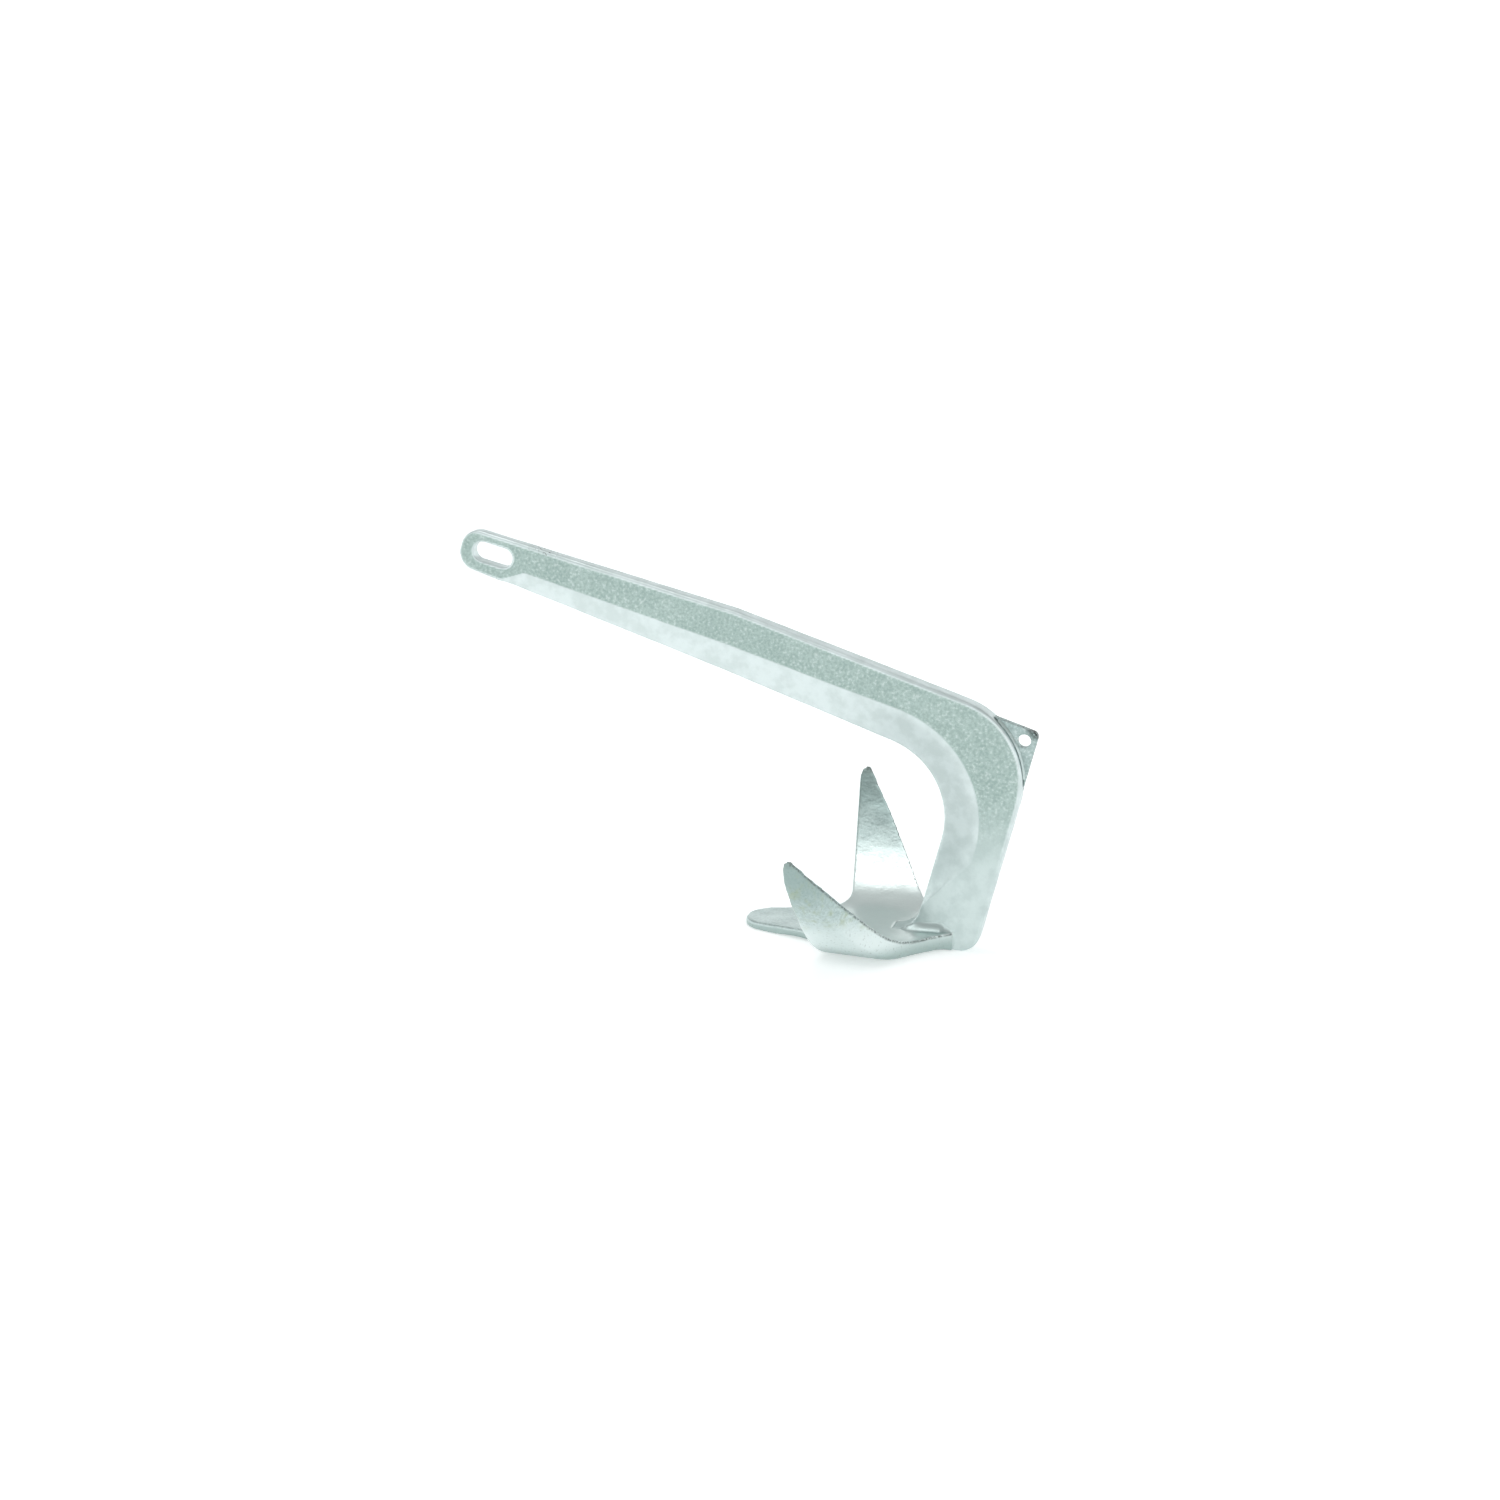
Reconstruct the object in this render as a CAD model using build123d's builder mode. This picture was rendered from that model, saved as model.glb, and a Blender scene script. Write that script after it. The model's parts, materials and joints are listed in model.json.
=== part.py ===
"""Galvanised three-fluke claw anchor, 10 kg class, standing on its claw.

+Z is up, +X runs from the eye towards the crown, Y is the width, and the anchor is the same on
both sides of Y = 0. It is drawn with its heel, where the back of the arm meets the floor, at zero.
At the end all the pieces move together, so that the origin lies on the floor under the middle of
the bounding box.
"""

import os
from math import acos, asin, atan2, cos, degrees, radians, sin, tan

from build123d import *

# Shank, side view: the arm rises from the heel to the outer corner, the beam goes on to the eye
arm_length = 212.5
arm_lean = 11.3
arm_depth = 58.0
beam_rear_run = 289.0
beam_rear_slope = 15.2
beam_front_run = 256.5
beam_front_slope = 11.2
beam_depth_bend = 62.5
beam_depth_middle = 55.5
eye_depth = 35.5
outer_bend_radius = 75.0
throat_radius = 72.0
bend_straight = 4.0
eye_end_radius = 16.5
heel_radius = 18.0
toe_radius = 22.0
toe_straight = 2.0

# Shank thickness, straight tapers in plan from the eye to the middle and on to the bend
eye_thickness = 14.0
middle_thickness = 20.0
arm_thickness = 22.0
shank_edge_radius = 3.0

# Shackle slot in the eye
slot_length = 37.0
slot_width = 17.0
slot_end_wall = 12.0

# Long bevels on both flanks, which thin the side that faces the throat
inner_edge_thickness = 5.5
bevel_width_eye = 25.0
bevel_width_middle = 28.0
bevel_width_bend = 33.0
bevel_start = 40.0
bevel_runout = 22.0
bevel_foot_height = 18.0
bevel_foot_runout = 56.0

# Trip line lug, a plate in the outer corner of the bend
lug_thickness = 8.0
lug_top_inset = 4.5
lug_back_inset = 1.0
lug_corner_radius = 6.0
trip_hole_diameter = 11.5
trip_hole_edge = 11.0
lug_weld_leg = 2.5

# Claw, cross-section: a flat floor, a curve up to the flukes, then a gentle curve to their tips
claw_floor_half_width = 34.0
claw_curve_radius = 86.0
claw_curve_angle = 40.0
fluke_curve_radius = 620.0
under_floor_half_width = 50.0
under_curve_radius = 80.0
under_curve_angle = 41.0
palm_thickness = 6.5
crown_thickness = 18.0
fluke_tip_thickness = 6.5

# Claw, plan view, with setbacks measured from the tip of the palm
claw_length = 210.0
palm_tip_radius = 25.0
palm_tip_half_width = 21.5
palm_root_half_width = 45.0
notch_setback = 86.0
notch_radius = 32.0
fluke_span = 364.0
fluke_tip_setback = 60.0
fluke_tip_radius = 6.0
rim_shoulder_setback = 158.0
rim_shoulder_half_width = 52.0
rim_bulge = 6.0
rim_end_setback = 191.0

# The arm's foot in the claw's slot, and the fillet welds along it
foot_clearance = 0.2
foot_weld_leg = 6.0
foot_weld_end_gap = 10.0


def along(start, angle, distance):
    """The point a distance from start, at an angle in degrees up from +X in the side view."""
    return (
        start[0] + distance * cos(radians(angle)),
        start[1] + distance * sin(radians(angle)),
    )


def crossing(point_a, angle_a, point_b, angle_b):
    """Where two side-view lines meet, each given by a point and its angle."""
    ax, az = along((0, 0), angle_a, 1)
    bx, bz = along((0, 0), angle_b, 1)
    gap_x, gap_z = point_b[0] - point_a[0], point_b[1] - point_a[1]
    return along(point_a, angle_a, (gap_x * bz - gap_z * bx) / (ax * bz - az * bx))


def angle_to(start, end):
    """The angle in degrees of the line from start to end in the side view."""
    return degrees(atan2(end[1] - start[1], end[0] - start[0]))


# Corners of the shank's outline, all in the side view (X, Z)
arm_angle = 90 - arm_lean
rear_angle = 180 - beam_rear_slope
front_angle = 180 - beam_front_slope
middle_angle = (rear_angle + front_angle) / 2
heel = (0.0, 0.0)
outer_corner = along(heel, arm_angle, arm_length)
top_middle = along(outer_corner, rear_angle, beam_rear_run)
eye_top = along(top_middle, front_angle, beam_front_run)
eye_bottom = along(eye_top, front_angle + 90, eye_depth)
under_middle = along(top_middle, middle_angle + 90, beam_depth_middle)
arm_front_at_heel = along(heel, arm_angle + 90, arm_depth)
under_corner = along(outer_corner, rear_angle + 90, beam_depth_bend)
under_rear_angle = angle_to(under_corner, under_middle)
under_front_angle = angle_to(under_middle, eye_bottom)
inner_corner = crossing(arm_front_at_heel, arm_angle, under_middle, under_rear_angle)

# The claw's floor rises gently from the palm's tip to the crown, over a level underside
palm_tip_x = -claw_length
crown_x = palm_tip_x + rim_end_setback
floor_at_tip = (palm_tip_x, palm_thickness)
floor_rise = angle_to(floor_at_tip, (crown_x, crown_thickness))
arm_front_foot = crossing(arm_front_at_heel, arm_angle, floor_at_tip, floor_rise)
toe_tangent = toe_radius * tan(radians((arm_angle - floor_rise) / 2))
toe_point = along(arm_front_foot, 180 + floor_rise, toe_tangent + toe_straight)

# The beam leaves the bend a little past the point where both of its edges have become straight
throat_tangent = throat_radius * tan(radians((under_rear_angle - arm_angle) / 2))
throat_start = along(inner_corner, under_rear_angle, throat_tangent + bend_straight)
bend_top = crossing(throat_start, rear_angle - 90, outer_corner, rear_angle)
eye_middle = along(eye_top, front_angle + 90, eye_depth / 2)
slot_centre = along(eye_middle, front_angle - 180, slot_end_wall + slot_length / 2)

# Room around the shank, for the tool bodies that cut it
past_eye = eye_top[0] - arm_depth
past_heel = outer_corner[0] + arm_depth
above_all = eye_top[1] + arm_depth
below_all = -arm_depth
in_front_of_arm = toe_point[0] - arm_depth

# Bevels: a line along the thin edge, where each flank starts to lean in, and the ends of the bevel
bevel_eye_end = along(eye_bottom, under_front_angle - 180, bevel_start)
bevel_eye_full = along(bevel_eye_end, under_front_angle - 180, bevel_runout)
bevel_foot_end = along(arm_front_foot, arm_angle, bevel_foot_height)
bevel_foot_full = along(bevel_foot_end, arm_angle, bevel_foot_runout)
bevel_depth = (arm_thickness - inner_edge_thickness) / 2
bevel_overshoot = 1.25
bevel_end_margin = 2.0


def bevel_sketch(plane, share):
    """What one bevel keeps at its plane; share is 0 at the thin edge and 1 at the arm's flank."""
    ridge_corner = crossing(
        along(inner_corner, under_rear_angle - 90, share * bevel_width_bend),
        under_rear_angle,
        along(inner_corner, arm_angle - 90, share * bevel_width_bend),
        arm_angle,
    )
    with BuildSketch(plane) as kept:
        with BuildLine():
            Polyline(
                (past_eye, below_all),
                (bevel_eye_end[0], below_all),
                along(bevel_eye_end, under_front_angle + 90, bevel_end_margin),
                along(bevel_eye_full, under_front_angle - 90, share * bevel_width_eye),
                along(under_middle, middle_angle - 90, share * bevel_width_middle),
                ridge_corner,
                along(bevel_foot_full, arm_angle - 90, share * bevel_width_bend),
                along(bevel_foot_end, arm_angle + 90, bevel_end_margin),
                (in_front_of_arm, bevel_foot_end[1]),
                (in_front_of_arm, below_all),
                (past_heel, below_all),
                (past_heel, above_all),
                (past_eye, above_all),
                close=True,
            )
        make_face()
        corner = kept.vertices().sort_by_distance(ridge_corner)[0]
        fillet(corner, throat_radius + share * bevel_width_bend)
    return kept.sketch


def beam_section(top, bottom, thickness):
    """Cross-section of the beam between two side-view points, its two upper corners rounded."""
    middle = ((top[0] + bottom[0]) / 2, 0, (top[1] + bottom[1]) / 2)
    upward = Vector(top[0] - bottom[0], 0, top[1] - bottom[1])
    along_beam = Vector(0, 1, 0).cross(upward)
    with BuildSketch(Plane(middle, x_dir=(0, 1, 0), z_dir=along_beam)) as section:
        Rectangle(thickness, upward.length)
        fillet(section.vertices().group_by(Axis.Y)[-1], shank_edge_radius)
    return section.sketch


# Bevel keeper: everything but the wedges that the bevels take off the shank's inner edges
with BuildPart() as bevel_keeper:
    thin_plane = Plane.XZ.offset(inner_edge_thickness / 2)
    outer_plane = thin_plane.offset(bevel_overshoot * bevel_depth)
    thin_sketch = bevel_sketch(thin_plane, 0)
    loft([thin_sketch, bevel_sketch(outer_plane, bevel_overshoot)], ruled=True)
    extrude(thin_sketch, amount=inner_edge_thickness / 2, dir=(0, 1, 0))
    mirror(about=Plane.XZ)

# Shank: arm and bend cut from the side outline, and the beam lofted on from the bend to the eye
with BuildPart() as shank:
    with BuildSketch(Plane.XZ) as arm_outline:
        with BuildLine():
            Polyline(
                heel,
                outer_corner,
                bend_top,
                throat_start,
                inner_corner,
                arm_front_foot,
                toe_point,
                (toe_point[0], 0),
                close=True,
            )
        make_face()
        for corner, radius in (
            (outer_corner, outer_bend_radius),
            (inner_corner, throat_radius),
            (heel, heel_radius),
            (arm_front_foot, toe_radius),
        ):
            fillet(arm_outline.vertices().sort_by_distance(corner)[0], radius)
    extrude(amount=arm_thickness / 2, both=True)
    outer_arc = shank.edges().filter_by(GeomType.CIRCLE).sort_by(SortBy.LENGTH)[-2:]
    fillet(outer_arc, shank_edge_radius)
    loft(
        [
            beam_section(bend_top, throat_start, arm_thickness),
            beam_section(top_middle, under_middle, middle_thickness),
            beam_section(eye_top, eye_bottom, eye_thickness),
        ],
        ruled=True,
    )
    with BuildSketch(Plane.XZ) as eye_end:
        with BuildLine():
            Polyline(
                eye_top,
                eye_bottom,
                bevel_eye_end,
                (bevel_eye_end[0], below_all),
                (past_heel, below_all),
                (past_heel, above_all),
                (top_middle[0], above_all),
                top_middle,
                close=True,
            )
        make_face()
        for corner in (eye_top, eye_bottom):
            fillet(eye_end.vertices().sort_by_distance(corner)[0], eye_end_radius)
    extrude(amount=arm_thickness, both=True, mode=Mode.INTERSECT)
    add(bevel_keeper.part, mode=Mode.INTERSECT)
    with BuildSketch(Plane.XZ):
        with Locations(slot_centre):
            SlotOverall(slot_length, slot_width, rotation=-beam_front_slope)
    extrude(amount=arm_thickness, both=True, mode=Mode.SUBTRACT)
shank.part.label = "shank"

# Trip line lug: a plate in the outer corner of the bend, drilled near its own corner
lug_corner = crossing(
    along(outer_corner, rear_angle + 90, lug_top_inset),
    rear_angle,
    along(outer_corner, arm_angle + 90, lug_back_inset),
    arm_angle,
)
trip_hole_centre = crossing(
    along(lug_corner, rear_angle + 90, trip_hole_edge),
    rear_angle,
    along(lug_corner, arm_angle + 90, trip_hole_edge),
    arm_angle,
)
with BuildPart() as trip_line_lug:
    with BuildSketch(Plane.XZ) as lug_outline:
        with BuildLine():
            Polyline(
                lug_corner,
                along(lug_corner, rear_angle, outer_bend_radius),
                along(lug_corner, arm_angle - 180, outer_bend_radius),
                close=True,
            )
        make_face()
        fillet(lug_outline.vertices().sort_by_distance(lug_corner)[0], lug_corner_radius)
        with Locations(trip_hole_centre):
            Circle(trip_hole_diameter / 2, mode=Mode.SUBTRACT)
    extrude(amount=lug_thickness / 2, both=True)
    add(shank.part, mode=Mode.SUBTRACT)
trip_line_lug.part.label = "trip_line_lug"

# Lug welds: a bead down each side of the plate, round the bend, where the plate is deep enough
bend_centre = crossing(
    along(outer_corner, rear_angle + 90, outer_bend_radius),
    rear_angle,
    along(outer_corner, arm_angle + 90, outer_bend_radius),
    arm_angle,
)
bead_reach = outer_bend_radius + lug_weld_leg
bead_low_angle = arm_angle - 90 + degrees(acos((outer_bend_radius - lug_back_inset) / bead_reach))
bead_high_angle = rear_angle - 90 - degrees(acos((outer_bend_radius - lug_top_inset) / bead_reach))
bend_axis = Axis((bend_centre[0], 0, bend_centre[1]), (0, -1, 0))
with BuildPart() as lug_weld_left:
    bead_radial = Vector(*along((0, 0), bead_low_angle, 1))
    bead_plane = Plane(
        origin=(bend_centre[0], 0, bend_centre[1]),
        x_dir=(bead_radial.X, 0, bead_radial.Y),
        z_dir=(-bead_radial.Y, 0, bead_radial.X),
    )
    with BuildSketch(bead_plane):
        with BuildLine():
            Polyline(
                (outer_bend_radius, lug_thickness / 2),
                (bead_reach, lug_thickness / 2),
                (outer_bend_radius, lug_thickness / 2 + lug_weld_leg),
                close=True,
            )
        make_face()
    revolve(axis=bend_axis, revolution_arc=bead_high_angle - bead_low_angle)
lug_weld_left.part.label = "lug_weld_left"
with BuildPart() as lug_weld_right:
    add(lug_weld_left.part)
    mirror(about=Plane.XZ, mode=Mode.REPLACE)
lug_weld_right.part.label = "lug_weld_right"

# Claw section: the bowl's curve above, and a level underside that is thickest at the crown
curve_centre = (claw_floor_half_width, claw_curve_radius)
curve_end = along(curve_centre, claw_curve_angle - 90, claw_curve_radius)
fluke_reach = (fluke_span / 2 - curve_end[0]) / fluke_curve_radius
tip_rise = degrees(asin(sin(radians(claw_curve_angle)) + fluke_reach))
fluke_centre = along(curve_end, claw_curve_angle + 90, fluke_curve_radius)
floor_at_tip_station = palm_thickness + fluke_tip_setback * tan(radians(floor_rise))
under_reach = fluke_curve_radius + fluke_tip_thickness
under_tip_in_bowl = along(fluke_centre, tip_rise - 90, under_reach)
under_at_tip = (under_tip_in_bowl[0], under_tip_in_bowl[1] + floor_at_tip_station)
fluke_arc_margin = 1.0
fluke_curve_angle = tip_rise - claw_curve_angle + fluke_arc_margin
bowl_plane = Plane(
    origin=(palm_tip_x, 0, palm_thickness),
    x_dir=(0, 1, 0),
    z_dir=(cos(radians(floor_rise)), 0, sin(radians(floor_rise))),
)
palm_corner = (palm_tip_x, palm_tip_half_width)
notch_corner = (palm_tip_x + notch_setback, palm_root_half_width)
fluke_tip = (palm_tip_x + fluke_tip_setback, fluke_span / 2)
rim_shoulder = (palm_tip_x + rim_shoulder_setback, rim_shoulder_half_width)
rim_end = (crown_x, arm_thickness / 2 + foot_clearance)
with BuildPart() as claw:
    with BuildSketch(Plane.XY) as plan:
        with BuildLine():
            Polyline((crown_x, 0), (palm_tip_x, 0), palm_corner, notch_corner, fluke_tip)
            rear_rim = SagittaArc(fluke_tip, rim_shoulder, rim_bulge)
            TangentArc(rim_shoulder, rim_end, tangent=rear_rim % 1)
            Line(rim_end, (crown_x, 0))
        make_face()
        for corner, radius in (
            (palm_corner, palm_tip_radius),
            (notch_corner, notch_radius),
            (fluke_tip, fluke_tip_radius),
        ):
            fillet(plan.vertices().sort_by_distance(corner)[0], radius)
        mirror(about=Plane.XZ)
    extrude(amount=above_all)
    with BuildSketch(Plane.YZ.offset(palm_tip_x)):
        with BuildLine():
            under_floor = Line((0, 0), (under_floor_half_width, 0))
            under_curve = JernArc(
                under_floor @ 1, under_floor % 1, under_curve_radius, under_curve_angle
            )
            TangentArc(under_curve @ 1, under_at_tip, tangent=under_curve % 1)
            Polyline(
                under_at_tip,
                (fluke_span, under_at_tip[1]),
                (fluke_span, above_all),
                (0, above_all),
                (0, 0),
            )
        make_face()
        mirror(about=Plane.YZ)
    extrude(amount=claw_length, mode=Mode.INTERSECT)
    with BuildSketch(bowl_plane):
        with BuildLine():
            floor = Line((0, 0), (claw_floor_half_width, 0))
            curve = JernArc(floor @ 1, floor % 1, claw_curve_radius, claw_curve_angle)
            fluke = JernArc(curve @ 1, curve % 1, fluke_curve_radius, fluke_curve_angle)
            Polyline(fluke @ 1, ((fluke @ 1).X, above_all), (0, above_all), (0, 0))
        make_face()
        mirror(about=Plane.YZ)
    extrude(amount=fluke_span, both=True, mode=Mode.SUBTRACT)
    with BuildSketch(Plane.XY):
        with Locations(((toe_point[0] + past_heel) / 2, 0)):
            Rectangle(
                past_heel - toe_point[0] + 2 * foot_clearance, arm_thickness + 2 * foot_clearance
            )
    extrude(amount=above_all, mode=Mode.SUBTRACT)
claw.part.label = "claw"

# Claw welds: a bead along each side of the arm's foot, on the floor of the bowl
with BuildPart() as claw_weld_left:
    weld_start = along(toe_point, floor_rise, foot_weld_end_gap)
    weld_plane = Plane((weld_start[0], 0, weld_start[1]), bowl_plane.x_dir, bowl_plane.z_dir)
    with BuildSketch(weld_plane):
        with BuildLine():
            Polyline(
                (arm_thickness / 2, 0),
                (arm_thickness / 2 + foot_weld_leg, 0),
                (arm_thickness / 2, foot_weld_leg),
                close=True,
            )
        make_face()
    extrude(amount=crown_x - toe_point[0] - 2 * foot_weld_end_gap)
    add(shank.part, mode=Mode.SUBTRACT)
claw_weld_left.part.label = "claw_weld_left"
with BuildPart() as claw_weld_right:
    add(claw_weld_left.part)
    mirror(about=Plane.XZ, mode=Mode.REPLACE)
claw_weld_right.part.label = "claw_weld_right"

# The origin is on the floor, under the middle of the finished anchor
pieces = [
    shank,
    claw,
    trip_line_lug,
    claw_weld_left,
    claw_weld_right,
    lug_weld_left,
    lug_weld_right,
]
whole = Compound([piece.part for piece in pieces]).bounding_box()
to_origin = Location((-(whole.min.X + whole.max.X) / 2, 0, -whole.min.Z))
print("anchor", whole.size)
for place, point in (("shackle slot", slot_centre), ("trip hole", trip_hole_centre)):
    print(place, point[0] + to_origin.position.X, point[1] + to_origin.position.Z)

os.makedirs("parts", exist_ok=True)
for piece in pieces:
    piece.part.move(to_origin)
    export_step(piece.part, f"parts/{piece.part.label}.step")
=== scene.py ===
# %% [markdown]
# # A galvanised claw anchor
# A claw anchor is a bent steel shank with a three-fluke claw welded to its foot, dipped in molten
# zinc when it is finished. The lessons below turn the exact CAD pieces into worn-in metal: soft
# edges, a pebbled zinc skin, weld fillets and a beaded rim. The CAD pieces come in first, as the
# frame that fixes every size.

# %% Load the frame
import json
import math

import bpy
import numpy as np
from mathutils import Matrix, Vector

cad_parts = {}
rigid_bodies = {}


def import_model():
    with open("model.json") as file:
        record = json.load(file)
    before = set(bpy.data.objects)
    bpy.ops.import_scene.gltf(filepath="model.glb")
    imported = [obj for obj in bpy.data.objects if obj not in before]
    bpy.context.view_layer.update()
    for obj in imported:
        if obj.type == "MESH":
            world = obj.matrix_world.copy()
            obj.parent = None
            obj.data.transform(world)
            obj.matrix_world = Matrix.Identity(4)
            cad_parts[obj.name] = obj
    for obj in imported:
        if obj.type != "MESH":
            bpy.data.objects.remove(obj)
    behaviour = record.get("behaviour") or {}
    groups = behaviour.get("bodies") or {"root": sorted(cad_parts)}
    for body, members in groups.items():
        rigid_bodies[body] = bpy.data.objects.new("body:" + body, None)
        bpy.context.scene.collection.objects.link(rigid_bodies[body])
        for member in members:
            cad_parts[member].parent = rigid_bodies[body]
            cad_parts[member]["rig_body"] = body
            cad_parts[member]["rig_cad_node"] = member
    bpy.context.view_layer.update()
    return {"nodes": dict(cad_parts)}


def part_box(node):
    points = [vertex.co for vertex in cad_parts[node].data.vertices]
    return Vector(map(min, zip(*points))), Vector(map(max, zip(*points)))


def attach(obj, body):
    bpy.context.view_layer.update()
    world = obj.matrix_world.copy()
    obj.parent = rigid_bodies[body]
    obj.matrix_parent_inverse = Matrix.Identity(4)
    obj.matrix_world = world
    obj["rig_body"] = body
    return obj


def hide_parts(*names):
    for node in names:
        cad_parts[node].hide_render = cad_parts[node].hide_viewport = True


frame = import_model()
print("CAD pieces:", sorted(frame["nodes"]))

# %% [markdown]
# ## The camera
# A long lens keeps the two flukes in proportion. The camera looks a little down and a little from
# the lug's side. It also leans with the anchor by a few degrees, so that the whole pose is turned
# about the Y axis. A camera looks along its own -Z, so its place is the aim point plus its +Z.

# %% Camera
MM = 0.001
LEAN = math.radians(3.6)
AZIMUTH = math.radians(13.5)
ELEVATION = math.radians(13.8)
DISTANCE = 2784.4 * MM
AIM = Vector((9.75, 0.0, 158.1)) * MM

lean_turn = Matrix.Rotation(-LEAN, 3, "Y")
look_turn = Matrix.Rotation(AZIMUTH, 3, "Z") @ Matrix.Rotation(math.pi / 2 - ELEVATION, 3, "X")
camera_turn = lean_turn @ look_turn
camera_place = AIM + camera_turn @ Vector((0.0, 0.0, DISTANCE))
bpy.ops.object.camera_add(location=camera_place, rotation=camera_turn.to_euler())
camera = bpy.context.object
camera.name = "studio camera"
camera.data.lens = 75.0
camera.data.sensor_width = 36.0
bpy.context.scene.camera = camera
print("camera at", [round(v, 3) for v in camera.location])

# %% [markdown]
# ## Small tools
# Every piece below is made the same way, so the steps get a function each: select one object,
# copy a CAD piece and merge its loose triangles, rebuild it as an even skin of small squares, and
# soften it. The even skin matters because smoothing and displacement only look right where the
# points are evenly spaced.

# %% Selecting and copying


def choose(*objects):
    """Selects only these objects, and makes the last one active."""
    bpy.ops.object.select_all(action="DESELECT")
    for thing in objects:
        thing.select_set(True)
    bpy.context.view_layer.objects.active = objects[-1]


def copy_of(node_name):
    """A copy of a CAD piece with a mesh of its own, its loose triangles merged."""
    node = frame["nodes"][node_name]
    choose(node)
    bpy.ops.object.duplicate()
    copy = bpy.context.object
    body = copy.matrix_world.copy()
    copy.parent = None
    copy.matrix_world = body
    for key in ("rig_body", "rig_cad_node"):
        if key in copy:
            del copy[key]
    bpy.ops.object.mode_set(mode="EDIT")
    bpy.ops.mesh.select_all(action="SELECT")
    bpy.ops.mesh.remove_doubles(threshold=0.01 * MM)
    bpy.ops.object.mode_set(mode="OBJECT")
    return copy


def modify(thing, kind, **settings):
    """Adds a modifier with these settings and applies it."""
    choose(thing)
    modifier = thing.modifiers.new(kind.lower(), kind)
    for key, value in settings.items():
        setattr(modifier, key, value)
    bpy.ops.object.modifier_apply(modifier=modifier.name)


def reskin(thing, square, rounds, sink):
    """An even skin of squares of this size, softened by smoothing rounds and sunk by a little."""
    modify(thing, "REMESH", mode="VOXEL", voxel_size=square)
    modify(thing, "SMOOTH", factor=0.5, iterations=rounds)
    shrink(thing, sink)


def shrink(thing, distance):
    """Moves every point inwards, which leaves room for the grain that goes on later."""
    choose(thing)
    bpy.ops.object.mode_set(mode="EDIT")
    bpy.ops.mesh.select_all(action="SELECT")
    bpy.ops.transform.shrink_fatten(value=-distance)
    bpy.ops.object.mode_set(mode="OBJECT")


def report(thing):
    """Prints what a finished piece measures."""
    size = [round(v / MM, 1) for v in thing.dimensions]
    triangles = sum(len(face.vertices) - 2 for face in thing.data.polygons)
    print(f"{thing.name}: {size} mm, {triangles} triangles")


# %% Reading and marking points


def points_of(thing):
    """The points of a mesh, and the direction of the surface at each, as two arrays."""
    count = len(thing.data.vertices)
    places = np.empty(count * 3, np.float32)
    thing.data.vertices.foreach_get("co", places)
    facing = np.array([v.normal[:] for v in thing.data.vertices], np.float32)
    return places.reshape(-1, 3), facing


def mark(thing, name, strength):
    """Stores a strength from 0 to 1 at each point, for the material to read by name."""
    layer = thing.data.attributes.get(name)
    if layer is None:
        layer = thing.data.attributes.new(name=name, type="FLOAT", domain="POINT")
    layer.data.foreach_set("value", np.clip(strength, 0, 1).astype(np.float32))


def ramp(values, start, end):
    """0 before start, 1 past end, and a smooth climb between them."""
    share = np.clip((values - start) / (end - start), 0, 1)
    return share * share * (3 - 2 * share)


# %% [markdown]
# ## The uneven zinc skin
# A forging that has been dipped in zinc isn't flat. It has shallow waves as wide as a thumb, and a
# pebbled grain of a few millimetres, like orange peel. Both are moved into the mesh by Displace
# modifiers with cloud textures, and a vertex group holds them back where the metal is smooth. The
# texture swings to both sides of its middle, so half of the height goes inwards.

# %% Displacement by clouds


def weigh(thing, name, weights):
    """Makes a vertex group from weights between 0 and 1, in steps of a tenth."""
    group = thing.vertex_groups.new(name=name)
    tenths = np.round(np.clip(weights, 0, 1) * 10).astype(int)
    for step in range(1, 11):
        group.add([int(i) for i in np.nonzero(tenths == step)[0]], step / 10, "REPLACE")
    return group.name


def unevenness(name, size, detail):
    """A cloud texture whose lumps are about this size."""
    clouds = bpy.data.textures.new(name, "CLOUDS")
    clouds.noise_scale = size
    clouds.noise_depth = detail
    return clouds


def roughen(thing, clouds, height, weights=None):
    """Pushes the surface in and out by a cloud texture, by up to this height."""
    group_name = "" if weights is None else weigh(thing, clouds.name, weights)
    modify(
        thing,
        "DISPLACE",
        texture=clouds,
        texture_coords="LOCAL",
        strength=height,
        mid_level=0.5,
        vertex_group=group_name,
    )


waves = unevenness("shallow waves", 22 * MM, 1)
peel = unevenness("orange peel", 3.2 * MM, 1)
beads = unevenness("zinc beads", 4.5 * MM, 2)

# %% [markdown]
# ## The shank
# The shank is one forging: an eye with a shackle slot, a straight beam, a bend and an arm. Its
# flanks are pebbled, and the long bevels that thin its inner edge are much smoother, as if ground
# before dipping. A bevel leans a few degrees from the flank, so the lean of the surface tells the
# two apart. The mask is read before the grain goes on, while the surface is still clean.

# %% Shank
FLANK_ROUNDS = 260
shank = copy_of("shank")
shank.name = "forged_shank"
reskin(shank, 1.15 * MM, 5, 0.15 * MM)
places, facing = points_of(shank)
FLANK_LEAN = (0.995, 0.975)
sideways = np.abs(facing[:, 1])
bevel_share = ramp(sideways, *FLANK_LEAN)
flank = weigh(shank, "flanks", ramp(sideways, 0.90, 0.955))
modify(shank, "SMOOTH", factor=0.5, iterations=FLANK_ROUNDS, vertex_group=flank)
arm_share = ramp(places[:, 2], 150 * MM, 60 * MM) * ramp(places[:, 0], 120 * MM, 160 * MM)
smooth_share = np.clip(np.maximum(0.95 * bevel_share, 0.85 * arm_share), 0, 1)
mark(shank, "bevel", bevel_share * (1 - arm_share))
EYE_TOP_EDGE = np.array((-181.0, -7.0, 322.0)) * MM
from_eye_edge = np.linalg.norm((places - EYE_TOP_EDGE) * (1, 1, 3), axis=1)
mark(shank, "smooth", smooth_share)
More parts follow.
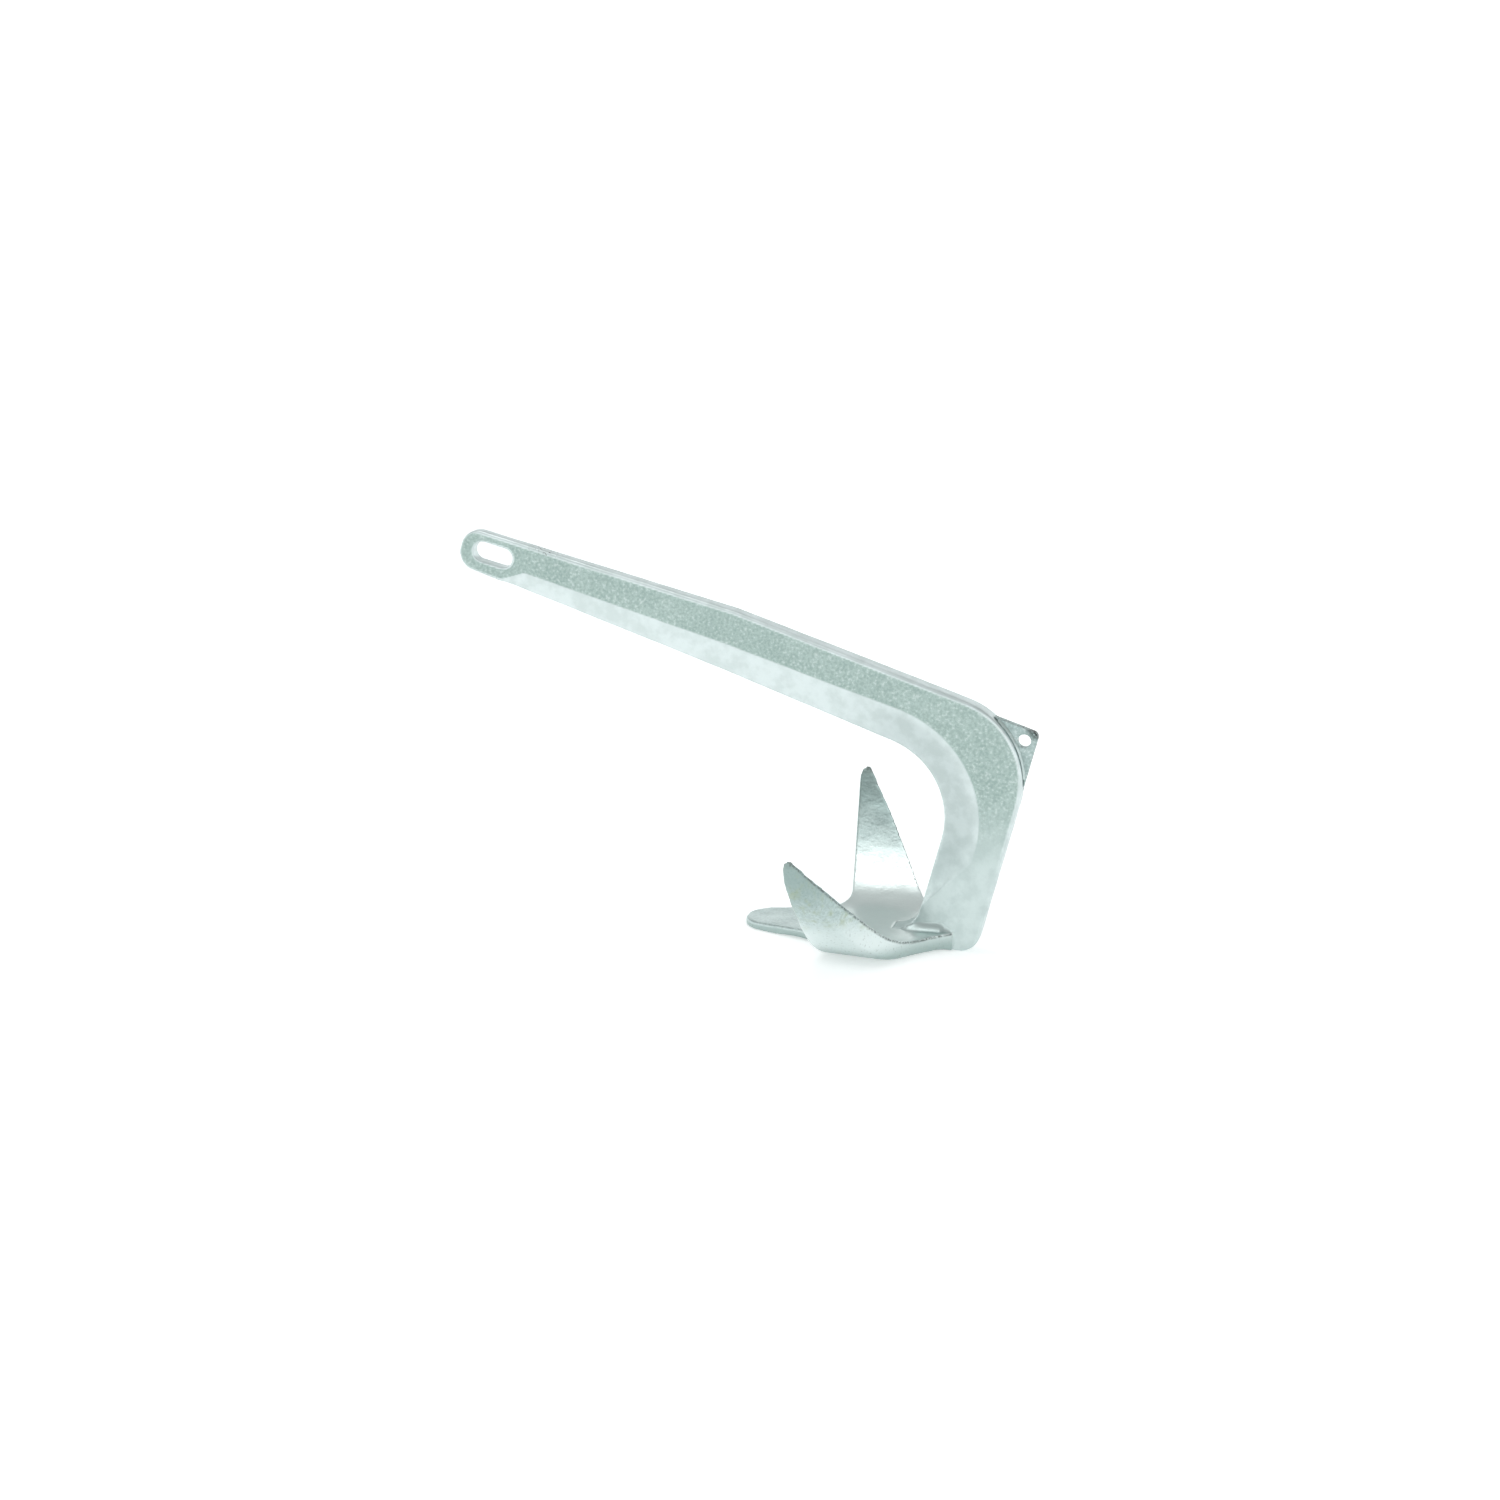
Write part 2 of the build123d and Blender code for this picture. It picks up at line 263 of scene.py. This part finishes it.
mark(shank, "scrape", ramp(from_eye_edge, 26 * MM, 14 * MM))
roughen(shank, waves, 0.45 * MM)
roughen(shank, peel, 0.55 * MM, 1 - 0.85 * smooth_share)
report(shank)

# %% [markdown]
# ## The claw
# The claw is a thick casting with a palm in front and a fluke on each side. Inside it is a clean
# bowl with a crisp rim. Outside it is rounded right up to that rim, with no lower edge. The CAD
# piece has upright walls there, so the rear walls, and the lower part of the front walls, are
# smoothed away: the deeper a point lies under the top surface, the more freely it may move. The
# depth is measured by looking straight down on the claw at that point, just inside the rim.

# %% Depth under the top surface


def depth_under_top(thing, places, facing, step_in):
    """How far each point lies below the top surface, measured a little inside the outline."""
    depths = np.zeros(len(places), np.float32)
    above = float(places[:, 2].max()) + step_in
    inside = places - facing * step_in
    for index, (x, y, _) in enumerate(inside):
        found, top, _, _ = thing.ray_cast((x, y, above), (0.0, 0.0, -1.0))
        if found:
            depths[index] = top.z - places[index, 2]
    return depths


# %% Claw
LOOSE_ROUNDS = 200
LEVEL_ROUNDS = 6
claw = copy_of("claw")
claw.name = "three_fluke_claw"
reskin(claw, 1.05 * MM, 3, 0.0)
places, facing = points_of(claw)
depth = depth_under_top(claw, places, facing, 1.5 * MM)
clear_of_arm = ramp(np.abs(places[:, 1]), 11.5 * MM, 16 * MM)
behind = ramp(facing[:, 0], -0.25, 0.10) * ramp(depth, 1.0 * MM, 4.0 * MM)
lower_front = ramp(depth, 4.5 * MM, 8.0 * MM) * ramp(places[:, 0], 50 * MM, 70 * MM)
loose_share = np.maximum(behind, lower_front) * clear_of_arm
loose = weigh(claw, "rear walls and underside", loose_share)
modify(claw, "SMOOTH", factor=0.5, iterations=LOOSE_ROUNDS, vertex_group=loose)
modify(claw, "SMOOTH", factor=0.5, iterations=LEVEL_ROUNDS)
shrink(claw, 0.38 * MM)
places, facing = points_of(claw)
CLAW_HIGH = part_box("claw")[1]
on_rim = ramp(depth, 0.3 * MM, 0.8 * MM) * ramp(depth, 3.6 * MM, 2.2 * MM)
rear_share = ramp(facing[:, 0], 0.05, 0.30) * on_rim
outer_share = ramp(depth, 1.5 * MM, 3.0 * MM)
high_share = outer_share * ramp(places[:, 2], 28 * MM, 60 * MM)
tip_share = ramp(places[:, 2], CLAW_HIGH.z - 9 * MM, CLAW_HIGH.z - 2 * MM)
inside_share = 1 - outer_share
behind_palm = ramp(places[:, 0], 70 * MM, 110 * MM)
low_down = ramp(places[:, 2], 60 * MM, 35 * MM)
# Share for the painted highlight that lightens the bowl.
bowl_share = inside_share * behind_palm * low_down
mark(claw, "rear_rim", rear_share)
mark(claw, "outside", outer_share)
mark(claw, "outside_high", high_share)
mark(claw, "tip", tip_share)
mark(claw, "bowl", bowl_share)
# Height share for the painted shade that darkens the claw higher up.
mark(claw, "high", ramp(places[:, 2], 45 * MM, 95 * MM))
# Share for the painted shade on the outside near the floor.
mark(claw, "bottom", outer_share * ramp(places[:, 2], 22 * MM, 5 * MM))
roughen(claw, waves, 0.7 * MM)
roughen(claw, peel, 0.28 * MM, np.clip(0.35 + 0.65 * outer_share, 0, 1))
roughen(claw, beads, 0.9 * MM, rear_share)
report(claw)

# %% [markdown]
# ## The trip line lug
# The lug is a small plate in the corner of the bend, with a hole for a trip line. It is sheared
# and drilled, so its edges are only slightly softened, and a finer skin keeps the hole round.

# %% Lug
lug = copy_of("trip_line_lug")
lug.name = "trip_line_lug_plate"
reskin(lug, 0.5 * MM, 6, 0.15 * MM)
places, facing = points_of(lug)
LUG_CORNER = np.array((266.0, 0.0, 209.0)) * MM
from_corner = np.linalg.norm((places - LUG_CORNER) * (1, 0, 1), axis=1)
mark(lug, "worn", ramp(from_corner, 14 * MM, 4 * MM))
mark(lug, "edge", ramp(np.abs(facing[:, 1]), 0.85, 0.60))
roughen(lug, waves, 0.3 * MM)
roughen(lug, peel, 0.15 * MM)
report(lug)

# %% [markdown]
# ## The weld fillets
# At the arm's foot the weld has run into both parts, so that the surface flows from one to the
# other. A neat way to get that flow is to join copies of the finished parts and of the CAD beads,
# skin them as one, and smooth hard: inside corners fill out, while everything else sinks. The
# result shows only where it stands above the parts, and the rest of it lies hidden inside them. It
# is then cut to the room round the foot, and halved down the middle of the arm, one half for each
# weld.

# %% Blending parts into one surface


def blend(name, parts, square, rounds, sink):
    """The smoothed union of these meshes, sunk a little. The parts are used up."""
    choose(*parts)
    bpy.ops.object.join()
    union = bpy.context.object
    union.name = name
    reskin(union, square, rounds, sink)
    return union


def twin(thing):
    """A duplicate of an object, with a mesh of its own."""
    choose(thing)
    bpy.ops.object.duplicate()
    return bpy.context.object


def cut_to_box(thing, low, high):
    """Bisects a mesh with the six sides of a box, and closes each cut."""
    choose(thing)
    bpy.ops.object.mode_set(mode="EDIT")
    for axis in range(3):
        outward = Vector([float(i == axis) for i in range(3)])
        for corner, direction in ((low, -outward), (high, outward)):
            bpy.ops.mesh.select_all(action="SELECT")
            bpy.ops.mesh.bisect(
                plane_co=corner, plane_no=direction, use_fill=True, clear_outer=True
            )
    bpy.ops.mesh.select_all(action="SELECT")
    bpy.ops.mesh.normals_make_consistent(inside=False)
    bpy.ops.object.mode_set(mode="OBJECT")


# %% Fillets at the arm's foot
ARM_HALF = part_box("shank")[1].y
FOOT_LOW, FOOT_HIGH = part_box("claw_weld_left")
ROOM_LOW = Vector((FOOT_LOW.x - 30 * MM, -ARM_HALF - 26 * MM, 3 * MM))
ROOM_HIGH = Vector((CLAW_HIGH.x + 8 * MM, ARM_HALF + 26 * MM, FOOT_HIGH.z + 22 * MM))
MARGIN = Vector((12, 12, 12)) * MM
FILLET_SQUARE = 0.9 * MM
FILLET_ROUNDS = 120
FILLET_SINK = 0.45 * MM
foot_beads = [copy_of(f"claw_weld_{word}") for word in ("left", "right")]
for bead in foot_beads:
    reskin(bead, 0.6 * MM, 40, 0.0)
foot_parts = [twin(claw), twin(shank)]
for part in foot_parts:
    cut_to_box(part, ROOM_LOW - MARGIN, ROOM_HIGH + MARGIN)
foot = blend("foot_blend", foot_beads + foot_parts, FILLET_SQUARE, FILLET_ROUNDS, FILLET_SINK)
weld_pieces = []
for side, word in ((1, "left"), (-1, "right")):
    fillet = twin(foot)
    fillet.name = f"foot_weld_{word}"
    near, far = sorted((0.0, side * ROOM_HIGH.y))
    half_low = Vector((ROOM_LOW.x, near, ROOM_LOW.z))
    half_high = Vector((ROOM_HIGH.x, far, ROOM_HIGH.z))
    cut_to_box(fillet, half_low, half_high)
    mark(fillet, "smooth", np.ones(len(fillet.data.vertices)))
    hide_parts(f"claw_weld_{word}")
    weld_pieces.append(fillet)
    report(fillet)
choose(foot)
bpy.ops.object.delete()

# %% [markdown]
# The lug's weld is a plain small bead down each side of the plate. The CAD bead has a sharp
# triangular section, so a fine skin and a few smoothing rounds make it round, and clouds give it
# the ripple of a hand-laid weld.

# %% Beads at the lug
for word in ("left", "right"):
    bead = copy_of(f"lug_weld_{word}")
    bead.name = f"lug_bead_{word}"
    reskin(bead, 0.35 * MM, 4, 0.0)
    mark(bead, "smooth", np.ones(len(bead.data.vertices)))
    roughen(bead, beads, 0.5 * MM)
    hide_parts(f"lug_weld_{word}")
    weld_pieces.append(bead)
    report(bead)

# %% [markdown]
# ## Materials
# Zinc is a metal, so every finish here is fully metallic with the usual IOR, and its colour is the
# colour of its reflections. One function turns a hex colour to linear, and one adds any node with
# its settings and links. Texture coordinates are Object coordinates in metres, so a pattern with
# lumps of L metres has a scale of 1 / L.

# %% Colour and node helpers


def linear(hex_colour):
    """An sRGB hex colour as linear red, green, blue and alpha."""
    channels = [int(hex_colour[i : i + 2], 16) / 255 for i in (1, 3, 5)]
    straight = [c / 12.92 if c <= 0.04045 else ((c + 0.055) / 1.055) ** 2.4 for c in channels]
    return (*straight, 1.0)


def node(tree, kind, settings=None, values=None, links=None):
    """Adds a node, sets its properties and socket values, and links sockets into it."""
    made = tree.nodes.new(kind)
    for key, value in (settings or {}).items():
        setattr(made, key, value)
    for key, value in (values or {}).items():
        made.inputs[key].default_value = value
    for key, socket in (links or {}).items():
        tree.links.new(socket, made.inputs[key])
    return made


MIX_A, MIX_B, MIX_OUT = 6, 7, 2


def tint(tree, share, below, above):
    """Mixes from one colour, or a colour socket, to another by a share."""
    mix = node(tree, "ShaderNodeMix", {"data_type": "RGBA"}, links={0: share})
    for key, colour in ((MIX_A, below), (MIX_B, above)):
        if isinstance(colour, str):
            mix.inputs[key].default_value = linear(colour)
        else:
            tree.links.new(colour, mix.inputs[key])
    return mix.outputs[MIX_OUT]


def lumps(tree, size, detail=2.0):
    """A noise whose lumps are this many metres across, from 0 to 1."""
    place = node(tree, "ShaderNodeTexCoord").outputs["Object"]
    values = {"Scale": 1 / size, "Detail": detail, "Roughness": 0.55}
    return node(tree, "ShaderNodeTexNoise", values=values, links={"Vector": place}).outputs[0]


def stretch(tree, socket, start, end, low=0.0, high=1.0):
    """Maps start..end of a socket onto low..high, smoothly and with both ends held."""
    values = {1: start, 2: end, 3: low, 4: high}
    settings = {"interpolation_type": "SMOOTHSTEP"}
    return node(tree, "ShaderNodeMapRange", settings, values, {0: socket}).outputs[0]


def times(tree, first, second):
    """The product of two sockets, or of a socket and a number."""
    product = node(tree, "ShaderNodeMath", {"operation": "MULTIPLY"}, links={0: first})
    if isinstance(second, float):
        product.inputs[1].default_value = second
    else:
        tree.links.new(second, product.inputs[1])
    return product.outputs[0]


def inverse(tree, socket):
    """One minus a socket."""
    turned = node(tree, "ShaderNodeMath", {"operation": "SUBTRACT"}, {0: 1.0}, {1: socket})
    return turned.outputs[0]


def marked(tree, name):
    """The strength that mark() stored at each point of the piece."""
    return node(tree, "ShaderNodeAttribute", {"attribute_name": name}).outputs["Fac"]


# %% [markdown]
# ### The zinc coat
# All pieces went through the same bath, so one function starts each material: a cool grey metal
# that is cloudy in tone, with a pebbled grain. The lumps of the grain are 2.4 mm across, as on a
# sand-blasted forging. The grain's pits get painted shade and its crests a painted highlight, from
# the same lumps that drive the bump, and where a piece is marked smooth all three fade out. Each
# section below then adds what is its own.

# %% Zinc coat


def zinc_coat(name, dark, light, shine, grain_height, grain_painted_light_share):
    """Starts a hot-dip zinc finish. Returns its material, tree, shader and colour socket."""
    material = bpy.data.materials.new(name)
    material.use_nodes = True
    tree = material.node_tree
    shader = tree.nodes["Principled BSDF"]
    shader.inputs["Metallic"].default_value = 1.0
    clouds = lumps(tree, 26 * MM, 3.0)
    peel_lumps = lumps(tree, 2.4 * MM, 2.0)
    tone = tint(tree, stretch(tree, clouds, 0.30, 0.70, 0.25, 0.75), dark, light)
    rough_here = inverse(tree, marked(tree, "smooth"))
    # Painted shade in the pits of the grain, then a painted highlight on its crests.
    pit_painted_shade = times(tree, stretch(tree, peel_lumps, 0.52, 0.38, 0.0, grain_painted_light_share), rough_here)
    tone = tint(tree, pit_painted_shade, tone, "#6F8480")
    crest_painted_highlight = times(tree, stretch(tree, peel_lumps, 0.56, 0.68, 0.0, grain_painted_light_share), rough_here)
    tone = tint(tree, crest_painted_highlight, tone, "#F2F8F7")
    relief = node(tree, "ShaderNodeMapRange", values={3: 0.15, 4: 1.0}, links={0: rough_here})
    bump_values = {"Distance": grain_height}
    bump_links = {"Height": peel_lumps, "Strength": relief.outputs[0]}
    bump = node(tree, "ShaderNodeBump", values=bump_values, links=bump_links)
    tree.links.new(bump.outputs[0], shader.inputs["Normal"])
    tree.links.new(stretch(tree, peel_lumps, 0.3, 0.7, *shine), shader.inputs["Roughness"])
    return material, tree, shader, tone


def wear(material, thing):
    """Puts the finish on a piece, smooths its shading and makes it part of the anchor."""
    thing.data.materials.clear()
    thing.data.materials.append(material)
    choose(thing)
    bpy.ops.object.shade_smooth()
    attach(thing, "root")


# %% [markdown]
# ### Forged shank
# Hot-dip galvanised forged steel: the pebbled flank is a broken, satin grey, and the bevels are
# smoother, so they reflect more sharply, and they are painted lighter as a painted highlight of the
# bright floor that they lean towards. Near the eye the top edge is scraped through to dark scale in
# a few short marks.

# %% Forged shank finish
shank_zinc, tree, shader, tone = zinc_coat(
    "hot-dip galvanised forged steel", "#9FB3AE", "#B4C6C1", (0.32, 0.44), 0.40 * MM, 0.28
)
ground = stretch(tree, lumps(tree, 14 * MM, 4.0), 0.35, 0.65)
arm_tone = tint(tree, ground, "#C4D1D0", "#D2DEDD")
# The bevels are painted lighter: a painted highlight of the bright floor.
bevel_painted_highlight_tone = tint(tree, ground, "#CFDAD9", "#DCE6E6")
tone = tint(tree, marked(tree, "smooth"), tone, arm_tone)
tone = tint(tree, marked(tree, "bevel"), tone, bevel_painted_highlight_tone)
scratches = stretch(tree, lumps(tree, 2.2 * MM, 3.0), 0.60, 0.68)
tone = tint(tree, times(tree, scratches, marked(tree, "scrape")), tone, "#3B3F3D")
tree.links.new(tone, shader.inputs["Base Color"])
wear(shank_zinc, shank)
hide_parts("shank")
print(shank_zinc.name, "has", len(tree.nodes), "nodes")

# %% [markdown]
# ### Cast claw
# Hot-dip galvanised cast steel: smooth and soft inside the bowl, speckled outside. The outer
# flukes carry faint yellow-green stains, and the rear rims and tips are dark where the coat is
# thin.
# Light is painted in as well: a painted highlight lightens the bowl, a painted reflection of the
# floor lightens the lower outside, painted shade darkens the claw higher up towards the fluke tips,
# and painted shade darkens the outside near the floor.

# %% Cast claw finish
claw_zinc, tree, shader, tone = zinc_coat(
    "hot-dip galvanised cast steel", "#AEBFBE", "#C9D7D5", (0.28, 0.38), 0.10 * MM, 0.22
)
# Painted reflection of the bright floor: the lower outside is painted lighter.
lower_outside_painted_reflection = times(tree, inverse(tree, marked(tree, "outside_high")), marked(tree, "outside"))
tone = tint(tree, lower_outside_painted_reflection, tone, "#DCE6E5")
# Painted shade: the claw is darker higher up, towards the fluke tips.
tone = tint(tree, times(tree, marked(tree, "high"), 0.8), tone, "#8FA3A0")
# Painted highlight: the bowl is painted lighter.
tone = tint(tree, marked(tree, "bowl"), tone, "#E0EAE8")
# Painted shade: the outside is darker near the floor.
tone = tint(tree, marked(tree, "bottom"), tone, "#A9BAB7")
bloom = stretch(tree, lumps(tree, 9 * MM, 4.0), 0.45, 0.72, 0.0, 0.55)
tone = tint(tree, times(tree, bloom, marked(tree, "outside_high")), tone, "#9FAB86")
specks = stretch(tree, lumps(tree, 2.2 * MM, 4.0), 0.58, 0.72, 0.0, 0.4)
tone = tint(tree, times(tree, specks, marked(tree, "outside")), tone, "#7A847C")
chips = stretch(tree, lumps(tree, 2.5 * MM, 3.0), 0.36, 0.60, 0.25, 0.9)
tone = tint(tree, times(tree, chips, marked(tree, "rear_rim")), tone, "#5E6866")
tone = tint(tree, times(tree, chips, marked(tree, "tip")), tone, "#6B736F")
tree.links.new(tone, shader.inputs["Base Color"])
wear(claw_zinc, claw)
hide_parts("claw")
print(claw_zinc.name, "has", len(tree.nodes), "nodes")

# %% [markdown]
# ### Lug plate
# Hot-dip galvanised plate: a flatter, slightly darker grey. Its corner is where lines chafe, so the
# zinc has gone from it and the black steel scale shows in spots.

# %% Lug finish
lug_zinc, tree, shader, tone = zinc_coat(
    "hot-dip galvanised steel plate", "#9DB0AE", "#B9C9C7", (0.34, 0.46), 0.12 * MM, 0.3
)
bare = stretch(tree, lumps(tree, 2.5 * MM, 3.0), 0.35, 0.50)
tone = tint(tree, times(tree, bare, marked(tree, "worn")), tone, "#1E2120")
spots = stretch(tree, lumps(tree, 3.0 * MM, 3.0), 0.56, 0.64)
tone = tint(tree, times(tree, spots, marked(tree, "edge")), tone, "#2F3432")
tree.links.new(tone, shader.inputs["Base Color"])
wear(lug_zinc, lug)
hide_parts("trip_line_lug")
print(lug_zinc.name, "has", len(tree.nodes), "nodes")

# %% [markdown]
# ### Weld metal
# The welds are dipped with the rest. Their coat is smooth, and close in tone to the parts that
# they join.

# %% Weld finish
weld_zinc, tree, shader, tone = zinc_coat(
    "hot-dip galvanised weld metal", "#B9C8C6", "#C9D6D4", (0.28, 0.38), 0.08 * MM, 0.2
)
tree.links.new(tone, shader.inputs["Base Color"])
for piece in weld_pieces:
    wear(weld_zinc, piece)
print(weld_zinc.name, "is on", len(weld_pieces), "pieces")

# %% [markdown]
# ## Studio
# Metal shows what it reflects, so the room matters as much as the lights. The floor is a round
# white sweep that rises at its rim, and looks the same from every side. A softbox overhead lights
# the floor, and draws the bright lines along the top edges and inside the flukes. The sky between
# them is dimmer, which leaves the upper flukes grey.

# %% Sweep
bpy.ops.object.select_all(action="DESELECT")
SWEEP_RADIUS = 6.0
SWEEP_BEND = 1.6
SWEEP_STEPS = 12
PAPER_GLOW = 0.42
bpy.ops.mesh.primitive_circle_add(vertices=96, radius=SWEEP_RADIUS, fill_type="NGON")
floor = bpy.context.object
floor.name = "studio_floor"
bpy.ops.object.mode_set(mode="EDIT")
bpy.ops.mesh.select_mode(type="EDGE")
bpy.ops.mesh.select_all(action="SELECT")
reach = SWEEP_RADIUS
for step in range(SWEEP_STEPS):
    start = math.pi / 2 * step / SWEEP_STEPS
    end = math.pi / 2 * (step + 1) / SWEEP_STEPS
    rise = SWEEP_BEND * (math.cos(start) - math.cos(end))
    wider = reach + SWEEP_BEND * (math.sin(end) - math.sin(start))
    bpy.ops.mesh.extrude_edges_move(TRANSFORM_OT_translate={"value": (0.0, 0.0, rise)})
    bpy.ops.transform.resize(value=(wider / reach, wider / reach, 1.0))
    reach = wider
bpy.ops.mesh.extrude_edges_move(TRANSFORM_OT_translate={"value": (0.0, 0.0, SWEEP_BEND)})
bpy.ops.object.mode_set(mode="OBJECT")
bpy.ops.object.shade_smooth()
paper = bpy.data.materials.new("lit white paper")
paper.use_nodes = True
paper_shader = paper.node_tree.nodes["Principled BSDF"]
paper_shader.inputs["Base Color"].default_value = linear("#F4F6F6")
paper_shader.inputs["Roughness"].default_value = 0.95
paper_shader.inputs["Emission Color"].default_value = linear("#FFFFFF")
paper_shader.inputs["Emission Strength"].default_value = PAPER_GLOW
floor.data.materials.append(paper)
print("sweep:", [round(v, 2) for v in floor.dimensions], "m")

# %% Lights


def softbox(name, place, aim, width, height, power):
    """A rectangular area light at a place, turned to face an aim point."""
    bpy.ops.object.light_add(type="AREA", location=place)
    lamp = bpy.context.object
    lamp.name = name
    lamp.rotation_euler = (Vector(place) - Vector(aim)).to_track_quat("Z", "Y").to_euler()
    lamp.data.shape = "RECTANGLE"
    lamp.data.size = width
    lamp.data.size_y = height
    lamp.data.energy = power
    return lamp


SOFTBOX_PLACE = (-0.35, 0.05, 2.4)
SOFTBOX_AIM = (-0.35, 0.05, 0.0)
SOFTBOX_WATTS = 9.0
SKY_STRENGTH = 0.6
softbox("overhead softbox", SOFTBOX_PLACE, SOFTBOX_AIM, 1.6, 0.9, SOFTBOX_WATTS)
world = bpy.data.worlds.new("white studio")
bpy.context.scene.world = world
world.use_nodes = True
sky = world.node_tree.nodes["Background"]
sky.inputs["Color"].default_value = linear("#F7FAFA")
sky.inputs["Strength"].default_value = SKY_STRENGTH
bpy.context.scene.view_settings.view_transform = "Standard"
